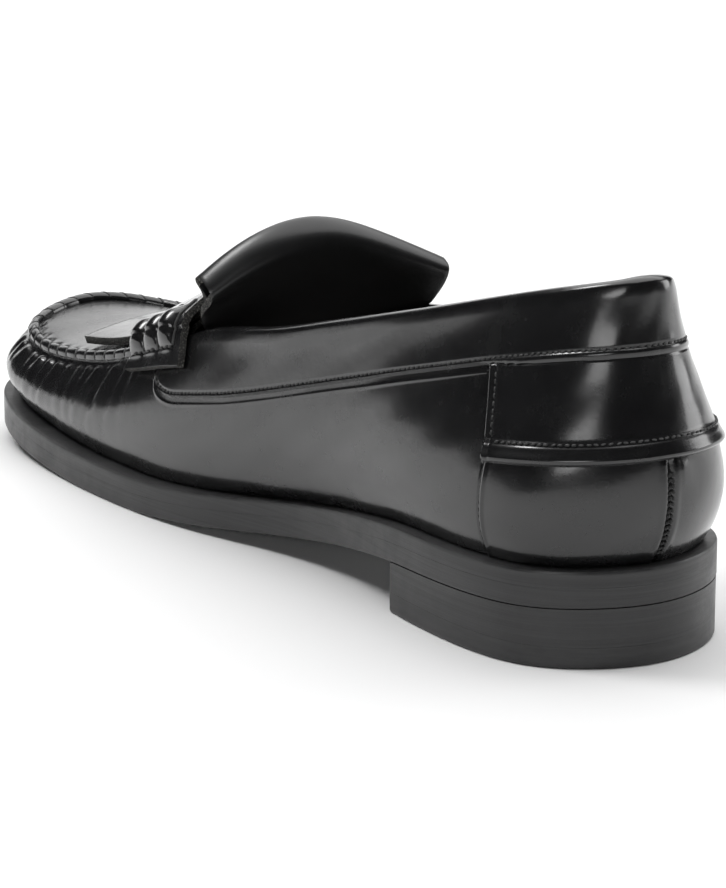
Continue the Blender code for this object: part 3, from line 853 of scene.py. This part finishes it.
def makeSeams():
    bm = bmesh.new()
    lipTop, panelAt = float(lipLine(upper["sideSeam"])), float(panelLine(upper["sideSeam"]))
    for mirror in (False, True):
        side = np.linspace(0.0, upper["panelFront"] - 0.01, 500)
        at = ring - side if mirror else side
        addSeam(bm, at, panelLine(at), "panel", 0.08, 0.12, 2)
        # up the front of the back panel
        share = np.linspace(lipTop + 0.09, panelAt - 0.045, 120)
        seamAt = sideSeamAt(np.full(share.shape, upper["sideSeam"]), share)
        seamAt = seamAt - upper["stitchInset"] / upper["stationLength"]
        at = ring - seamAt if mirror else seamAt
        addSeam(bm, at, share, "panel", 0.08, 0.1, 3)
        # down the butt seam below it
        share = np.linspace(0.05, lipTop - 0.03, 120)
        seamAt = upper["sideSeam"] + 0.2 / upper["stationLength"]
        at = np.full(share.shape, ring - seamAt if mirror else seamAt)
        addSeam(bm, at, share, "side", 0.05, 0.25, 4)
        # along the top of the lip
        side = np.linspace(0.0, upper["sideSeam"] - 0.06, 200)
        at = ring - side if mirror else side
        share = lipLine(at) + (upper["lipWidth"] + 0.1) / wallHeight(at)
        addSeam(bm, at, share, "panel", 0.1, 0.1, 5)
    addPiece("seamThread", bm, [thread], sharp=80.0)
    # coarse thread that closes the heel's butt seam
    bm = bmesh.new()
    share = np.linspace(0.03, float(lipLine(0.0)) - 0.035, 200)
    for k, (shift, slant) in enumerate(seams["heelRows"]):
        at = np.full(share.shape, shift / upper["heelStation"])
        addSeam(bm, at, share, "heel", 0.2, slant, 11 + k)
    addPiece("heelSeamThread", bm, [heelThread], sharp=80.0)


makeSeams()


# saddle strap
strap = {
    "back": 6.05,
    "front": 6.77,
    "endBack": 0.755,
    "endFront": 0.785,
    "thickness": 2.0,
    "clear": 1.2,
    "overTongue": 2.7,
    "rollHeight": 3.0,
    "rollCount": 3,
    "rollRadius": 3.6,
    "rollFrom": 0.14,
    # from the top of the wall, in millimetres: foot of the rolls, and the wound thread's far end
    "rollFoot": 3.2,
    "woundTo": 6.5,
    "side": 7.2,
    "span": 58.0,
    "backLean": 0.10,
    "groove": 0.35,
    "flare": 0.2,
    "thread": 0.42,
    "rows": 13,
    "along": 110,
    "smoothing": 2,
    # places round the instep: 0 end, 1 top of the wall, 1.5 middle of the apron
    "girth": (0.0, 0.25, 0.5, 0.7, 0.85, 1.0, 1.02, 1.045, 1.07, 1.1, 1.14, 1.19, 1.26, 1.34, 1.42),
}


def girthPoint(at, girth, end):
    if girth < 1.0:
        return wallBase(at, end + (1.0 - end) * girth)
    if girth > 2.0:
        return wallBase(ring - at, end + (1.0 - end) * (3.0 - girth))
    return apronBase(at, (girth - 1.5) * 2.0)


def strapBed():
    # the strap's underlying curve, smoothed as leather spans the seams below it
    half = strap["girth"]
    girth = np.array(list(half) + [1.5] + [3.0 - g for g in reversed(half)])
    share = np.linspace(0.0, 1.0, strap["rows"])
    points = np.zeros((strap["rows"], len(girth), 3))
    for i, a in enumerate(share):
        end = strap["endBack"] + (strap["endFront"] - strap["endBack"]) * a
        for j, g in enumerate(girth):
            back = strap["back"] + strap["backLean"] * float(ease(min(g, 3.0 - g)))
            points[i, j] = girthPoint(np.array(back + (strap["front"] - back) * a), g, end)
    for _ in range(strap["smoothing"]):
        calm = points.copy()
        calm[:, 1:-1] = 0.5 * points[:, 1:-1] + 0.25 * (points[:, :-2] + points[:, 2:])
        points = np.maximum(calm * (0, 0, 1), points * (0, 0, 1)) + calm * (1, 1, 0)
    return girth, points


def strapGrid():
    girth, points = strapBed()
    along = np.linspace(0.0, 1.0, strap["along"])
    lengthwise = curveThrough(points.reshape(strap["rows"], -1), False)
    rows = readCurve(lengthwise, along * (strap["rows"] - 1.0)).reshape(len(along), len(girth), 3)
    # columns close together over the rolled ends
    nearEnd, farEnd = np.linspace(0, 8, 75), np.linspace(22, 30, 75)
    columns = np.concatenate((nearEnd, np.linspace(8, 22, 60)[1:-1], farEnd))
    curve = curveThrough(np.moveaxis(rows, 1, 0).reshape(len(girth), -1), False)
    dense = readCurve(curve, columns).reshape(len(columns), len(along), 3)
    dense = np.moveaxis(dense, 0, 1)
    denseGirth = np.interp(columns, np.arange(len(girth)), girth)
    run = np.gradient(dense, axis=0)
    cross = np.gradient(dense, axis=1)
    n = np.cross(cross, run)
    n /= np.linalg.norm(n, axis=2, keepdims=True)
    if n[len(along) // 2, len(columns) // 2, 2] < 0:
        n = -n
    return along, denseGirth, dense, n


def strapHeight(along, girth):
    edge = np.minimum(girth, 3.0 - girth)[None]
    a = along[:, None]
    overTongue = ease((edge - 0.97) / 0.07)
    clear = strap["clear"] + (strap["overTongue"] - strap["clear"]) * overTongue
    reach = (edge - 1.0) * np.where(edge < 1.0, strap["side"], strap["span"])
    cell = (a - strap["rollFrom"]) / (1.0 - strap["rollFrom"]) * strap["rollCount"]
    puff = np.abs(np.sin(np.pi * np.clip(cell, 0.0, strap["rollCount"]))) ** 0.45
    puff = np.where(a > strap["rollFrom"], puff, 0.0)
    rolled = np.where(reach < 0, bump(reach, 2.6), bump(reach, strap["rollRadius"]))
    roll = rolled * strap["rollHeight"] * puff * ease(a / 0.08) * ease((1.0 - a) / 0.04)
    # stitched line where the rolls meet the flat end
    groove = strap["groove"] * bump(reach + strap["rollFoot"], 0.4) * ease((a - strap["rollFrom"]) / 0.05)
    flare = strap["flare"] * ease((-3.4 - reach) / 3.0) * bump(a - 0.35, 0.22)
    return clear + strap["thickness"] + roll - groove + flare


def makeStrap():
    along, girth, bed, n = strapGrid()
    top = bed + n * strapHeight(along, girth)[..., None]
    leathers = [strapLeather, rawEdge]
    piece = addPiece("saddleStrap", gridMesh(top), leathers, ("saddle_strap",), 60.0, True)
    thicken(piece, strap["thickness"] - 0.1, bevel=0.18)
    # thread wound round the rolls, between the puffs and at their back edge
    bm = bmesh.new()
    reach = np.where(girth < 1.5, girth - 1.0, 2.0 - girth)
    millimetres = reach * np.where(reach < 0, strap["side"], strap["span"])
    wound = (millimetres > -strap["rollFoot"]) & (millimetres < strap["woundTo"])
    for number in range(strap["rollCount"]):
        a = strap["rollFrom"] + (1.0 - strap["rollFrom"]) * number / strap["rollCount"]
        row = int(round(a * (len(along) - 1)))
        for mirror in (False, True):
            use = np.where(wound & ((girth > 1.5) == mirror))[0]
            path = top[row, use] + n[row, use] * 0.12
            joinMesh(bm, gridMesh(tubeGrid(path, strap["thread"], 8, n[row, use])))
    for mirror in (False, True):
        fromFoot = np.abs(reach * strap["side"] + strap["rollFoot"])
        column = int(np.argmin(fromFoot + 100.0 * ((girth > 1.5) != mirror)))
        use = slice(int(strap["rollFrom"] * len(along)), len(along) - 3)
        addStitches(bm, top[use, column], n[use, column], *seams["strap"], 0.12, 0.1, 21)
    addPiece("strapThread", bm, [thread], sharp=80.0)


makeStrap()


# kiltie tongue
tongue = {
    "thickness": 2.1,
    # how far the near end curls over: rise, over the top, under it, foot, outwards
    "curl": (0.7, 1.2, 4.2, 3.6, 1.1),
    "clear": 1.2,
    "middle": 1.0,
    "seatHalf": 21.5,
    "seatMiddle": 0.8,
    # place from the heel of the hidden end, and its depth under the apron's wall
    "seat": ((160.0, 1.6), (168.0, 1.2)),
    # place from the heel, half width and lift of the flap in front of the fold
    "flap": ((217.0, 26.0, 1.0), (204.0, 26.0, 0.5), (190.0, 25.5, 0.1), (177.0, 24.5, 0.0),
             (167.0, 24.3, 0.0), (157.0, 24.3, 0.0)),
    # share of the width, then the fold's top (x, y, z), its back (y, z) and its foot (y, z)
    "fold": (
        (0.00, -28.3, 150.6, 62.0, 145.8, 58.0, 150.6, 48.6),
        (0.22, -17.0, 146.6, 71.0, 142.2, 64.5, 147.4, 48.0),
        (0.48, -2.0, 141.6, 76.0, 137.6, 68.5, 144.0, 47.6),
        (0.75, 14.0, 136.8, 71.8, 133.4, 65.5, 141.0, 48.4),
        (1.00, 29.5, 131.3, 64.3, 129.0, 60.5, 137.0, 51.4),
    ),
    "columns": 71,
    "steps": 6,
    "glossyRows": 4,
}
foldCurve = curveThrough([row[1:] for row in tongue["fold"]], False)
midStations = np.linspace(5.0, 10.0, 400)
midPath = apronBase(midStations, 0.0)


def apronHeight(x, y, clear):
    at = float(np.interp(y, midPath[:, 1], midStations))
    left, right = apronBase(at, -1.0), apronBase(at, 1.0)
    across = min(max((2.0 * x - left[0] - right[0]) / (right[0] - left[0]), -1.0), 1.0)
    here = apronBase(at, across)
    crown = readCurve(lastCurve, at)[crownColumn]
    tilt = (right[2] - left[2] - 4.0 * crown * across) / (right[0] - left[0])
    ahead = apronBase(at + 0.05, across)
    fall = (ahead[2] - here[2]) / (ahead[1] - here[1])
    return here[2] + clear * math.sqrt(1.0 + tilt * tilt + fall * fall)


def tongueStrip(share):
    # from the flap's tip, under the strap, over the fold and down inside the shoe
    shares = [row[0] for row in tongue["fold"]]
    row = readCurve(foldCurve, np.interp(share, shares, np.arange(len(shares))))
    topX, topY, topZ, backY, backZ, lowY, lowZ = row
    topZ -= tongue["thickness"] / 2.0
    side = 2.0 * share - 1.0
    rise, over, under, foot, out = [size * (1.0 - share) ** 3 for size in tongue["curl"]]
    topZ += rise
    flap = []
    for y, half, lifted in tongue["flap"]:
        x = half * side + tongue["middle"]
        flap.append((x, y, apronHeight(x, y, tongue["clear"] + lifted)))
    flapEnd = flap[-1]
    seatX = tongue["seatHalf"] * side + tongue["seatMiddle"]
    seatClear = -upper["wall"] - tongue["clear"]
    seat = [(seatX, y, apronHeight(seatX, y, seatClear - depth)) for y, depth in tongue["seat"]]
    halfway = ((flapEnd[0] + topX * 2.0) / 3.0, (152.6 + topY) / 2.0 + 0.9)
    return flap + [
        # up in front of the fold
        ((flapEnd[0] * 3.0 + topX) / 4.0, 153.5, flapEnd[2] + 1.9),
        (*halfway, (flapEnd[2] + 2.0 + topZ) / 2.0),
        # over its round top
        (topX, topY + 1.7, topZ - 1.2),
        (topX, topY, topZ),
        (topX, (topY + backY) / 2.0 - 0.9 + over / 2.0, topZ - 0.25 * (topZ - backZ) - 0.4),
        # down its back and into the shoe
        (topX * 0.99, backY - 0.2 + over, backZ - 0.4),
        (topX * 0.95 - out, backY * 0.75 + lowY * 0.25 + under, backZ * 0.5 + lowZ * 0.5),
        (topX * 0.84 - out, lowY + foot, lowZ),
    ] + seat


def makeTongue():
    strips = []
    for share in np.linspace(0.0, 1.0, tongue["columns"]):
        curve = curveThrough(tongueStrip(share), False)
        pieces = len(curve[0]) - 1
        strips.append(readCurve(curve, np.linspace(0.0, pieces, pieces * tongue["steps"] + 1)))
    glossy = tongue["glossyRows"] * tongue["steps"]
    bm = gridMesh(np.stack(strips), lambda i, j: 0 if j < glossy else 2)
    leathers = [strapLeather, rawEdge, tongueLeather, rawEdge]
    piece = addPiece("kiltieTongue", bm, leathers, ("kiltie_tongue",), sharp=60.0)
    thicken(piece, tongue["thickness"], offset=0.0, bevel=0.2)


makeTongue()


# sole and heel
sole = {
    "edge": 0.7,
    "joint": 0.04,
    "stations": 260,
    "topPiece": 5.0,
    "heelInset": 0.1,
    "heelStations": 110,
    "columns": 10,
    # shares of an edge's rounding, inwards and upwards
    "turn": ((1.0, 0.0), (0.3, 0.3), (0.0, 1.0), (0.0, 1.5)),
}


def heelStation():
    side = np.linspace(2.0, 4.0, 400)
    return float(np.interp(last["heelLength"], outline(side, np.zeros(400))[:, 1], side))


def layerSection(at, inset, low, high, lowEdge, highEdge, across):
    # closed section across the shoe: lateral edge up, over the top, medial edge down, back under
    rims = []
    turn = sole["turn"]
    for side in (at, ring - at):
        column = []
        for height, edge, shares in ((low, lowEdge, turn), (high, -highEdge, turn[::-1])):
            for inShare, upShare in shares:
                xy = outline(side, np.full(at.shape, inset + abs(edge) * inShare))
                column.append(np.concatenate((xy, (height(xy[:, 1]) + edge * upShare)[:, None]), 1))
        rims.append(column)
    top = [rims[0][-1] + (rims[1][-1] - rims[0][-1]) * k / across for k in range(1, across)]
    bottom = [rims[1][0] + (rims[0][0] - rims[1][0]) * k / across for k in range(1, across)]
    for line, height in ((top, high), (bottom, low)):
        for points in line:
            points[:, 2] = height(points[:, 1])
    return np.stack(rims[0] + top + rims[1][::-1] + bottom + rims[0][:1], 1)


def makeLayer(name, at, inset, low, high, edges, materials, replaced):
    points = layerSection(at, inset, low, high, *edges, sole["columns"])
    bm = gridMesh(points)
    if at[-1] < toeStation:
        bmesh.ops.holes_fill(bm, edges=[e for e in bm.edges if e.is_boundary], sides=0)
    return addPiece(name, bm, materials, replaced, sharp=32.0)


def makeSole():
    blend = (1.0 - np.cos(np.linspace(0.0, math.pi, sole["stations"]))) / 2.0
    whole = toeStation * (0.5 * blend + 0.5 * np.linspace(0.0, 1.0, sole["stations"]))
    heel = np.linspace(0.0, 1.0, sole["heelStations"]) ** 1.4 * heelStation()
    edge, joint = sole["edge"], sole["joint"]

    def floor(y):
        return 0.0 * y

    def topPieceTop(y):
        return sole["topPiece"] + 0.0 * y

    def outsoleTop(y):
        return seatHeight(y) + last["outsole"]

    layers = (
        ("outsoleLeather", whole, 0.0, seatHeight, outsoleTop, (edge, joint),
         soleEdge, "sole_leather", "outsole"),
        ("midsoleLeather", whole, 0.0, outsoleTop, soleTop, (joint, edge),
         soleEdge, "sole_leather", "midsole"),
        ("heelStack", heel, sole["heelInset"], topPieceTop, seatHeight, (joint, joint),
         heelEdge, "heel_leather", "heel_stack"),
        ("heelTopPiece", heel, sole["heelInset"], floor, topPieceTop, (edge, joint),
         topPiece, "top_piece_rubber", "heel_top_piece"),
    )
    for name, at, inset, low, high, edges, material, slot, node in layers:
        makeLayer(name, at, inset, low, high, edges, [material], (node,))


makeSole()

# sock lining
sock = {
    "fromWall": 1.9,
    "thickness": 3.0,
    "edge": 0.8,
    "stations": 160,
}


def makeSock():
    at = np.linspace(0.0, toeStation, sock["stations"])
    edges = (sock["edge"], sock["edge"])
    tucks = [readCurve(lastCurve, side)[:, tuckColumn] for side in (at, ring - at)]

    def low(y):
        return soleTop(y) + last["gap"]

    def high(y):
        return soleTop(y) + last["gap"] + sock["thickness"]

    inset = np.maximum(*tucks) + sock["fromWall"]
    makeLayer("sockLining", at, inset, low, high, edges, [lining], ("insole",))


makeSock()


# floor, light and camera
studio = {
    "camera": (-0.4694, -0.6461, 0.2539),
    "yaw": -32.5,
    "pitch": -14.82,
    "lens": 3697.0 / 888.0 * 36.0,
    "world": (0.02, 0.02, 0.021),
    "floor": (0.86, 0.86, 0.86),
    # name: place, aim, width, height, watts, shape
    "lamps": {
        "overheadSoftbox": ((0.6, 0.5, 2.4), (0.0, 0.2, 0.0), 4.4, 4.4, 128.0, "RECTANGLE"),
        "lateralOverhead": ((-0.62, 0.66, 1.3), (0.0, 0.1, 0.04), 0.42, 0.5, 7.5, "ELLIPSE"),
        "toeCard": ((0.95, 1.85, 0.45), (0.0, 0.1, 0.05), 1.9, 0.8, 5.4, "RECTANGLE"),
        "lateralCard": ((-1.05, 1.3, 0.075), (0.0, 0.1, 0.05), 1.1, 0.15, 0.55, "RECTANGLE"),
        "backSpot": ((-1.12, -0.72, 0.42), (0.0, 0.0, 0.05), 0.85, 0.3, 2.7, "ELLIPSE"),
        "medialCard": ((1.3, -0.32, 0.3), (0.0, 0.0, 0.04), 0.6, 0.5, 3.5, "RECTANGLE"),
    },
}


def makeStudio():
    bm = bmesh.new()
    bmesh.ops.create_grid(bm, x_segments=2, y_segments=2, size=6.0)
    mesh = bpy.data.meshes.new("floor")
    bm.to_mesh(mesh)
    bm.free()
    material, nodes, links, shader = newMaterial("studioFloor")
    shader.inputs["Base Color"].default_value = (*studio["floor"], 1.0)
    shader.inputs["Roughness"].default_value = 0.9
    shader.inputs["Specular IOR Level"].default_value = 0.1
    mesh.materials.append(material)
    floor = addObject("floor", mesh)
    world = bpy.data.worlds.new("studio")
    world.use_nodes = True
    world.node_tree.nodes["Background"].inputs["Color"].default_value = (*studio["world"], 1.0)
    world.node_tree.nodes["Background"].inputs["Strength"].default_value = 1.0
    bpy.context.scene.world = world
    for name, (spot, aim, width, height, watts, shape) in studio["lamps"].items():
        lamp = bpy.data.lights.new(name, "AREA")
        lamp.shape = shape
        lamp.size = width
        lamp.size_y = height
        lamp.energy = watts
        addObject(name, lamp, spot, Vector(aim) - Vector(spot))
    lens = bpy.data.cameras.new("camera")
    lens.sensor_width = 36.0
    lens.lens = studio["lens"]
    lens.clip_end = 50.0
    yaw, pitch = math.radians(studio["yaw"]), math.radians(studio["pitch"])
    ahead = Vector((-math.sin(yaw) * math.cos(pitch), math.cos(yaw) * math.cos(pitch), math.sin(pitch)))
    bpy.context.scene.camera = addObject("camera", lens, studio["camera"], ahead)
    bpy.context.scene.view_settings.view_transform = "Standard"


makeStudio()
print("studio ready")
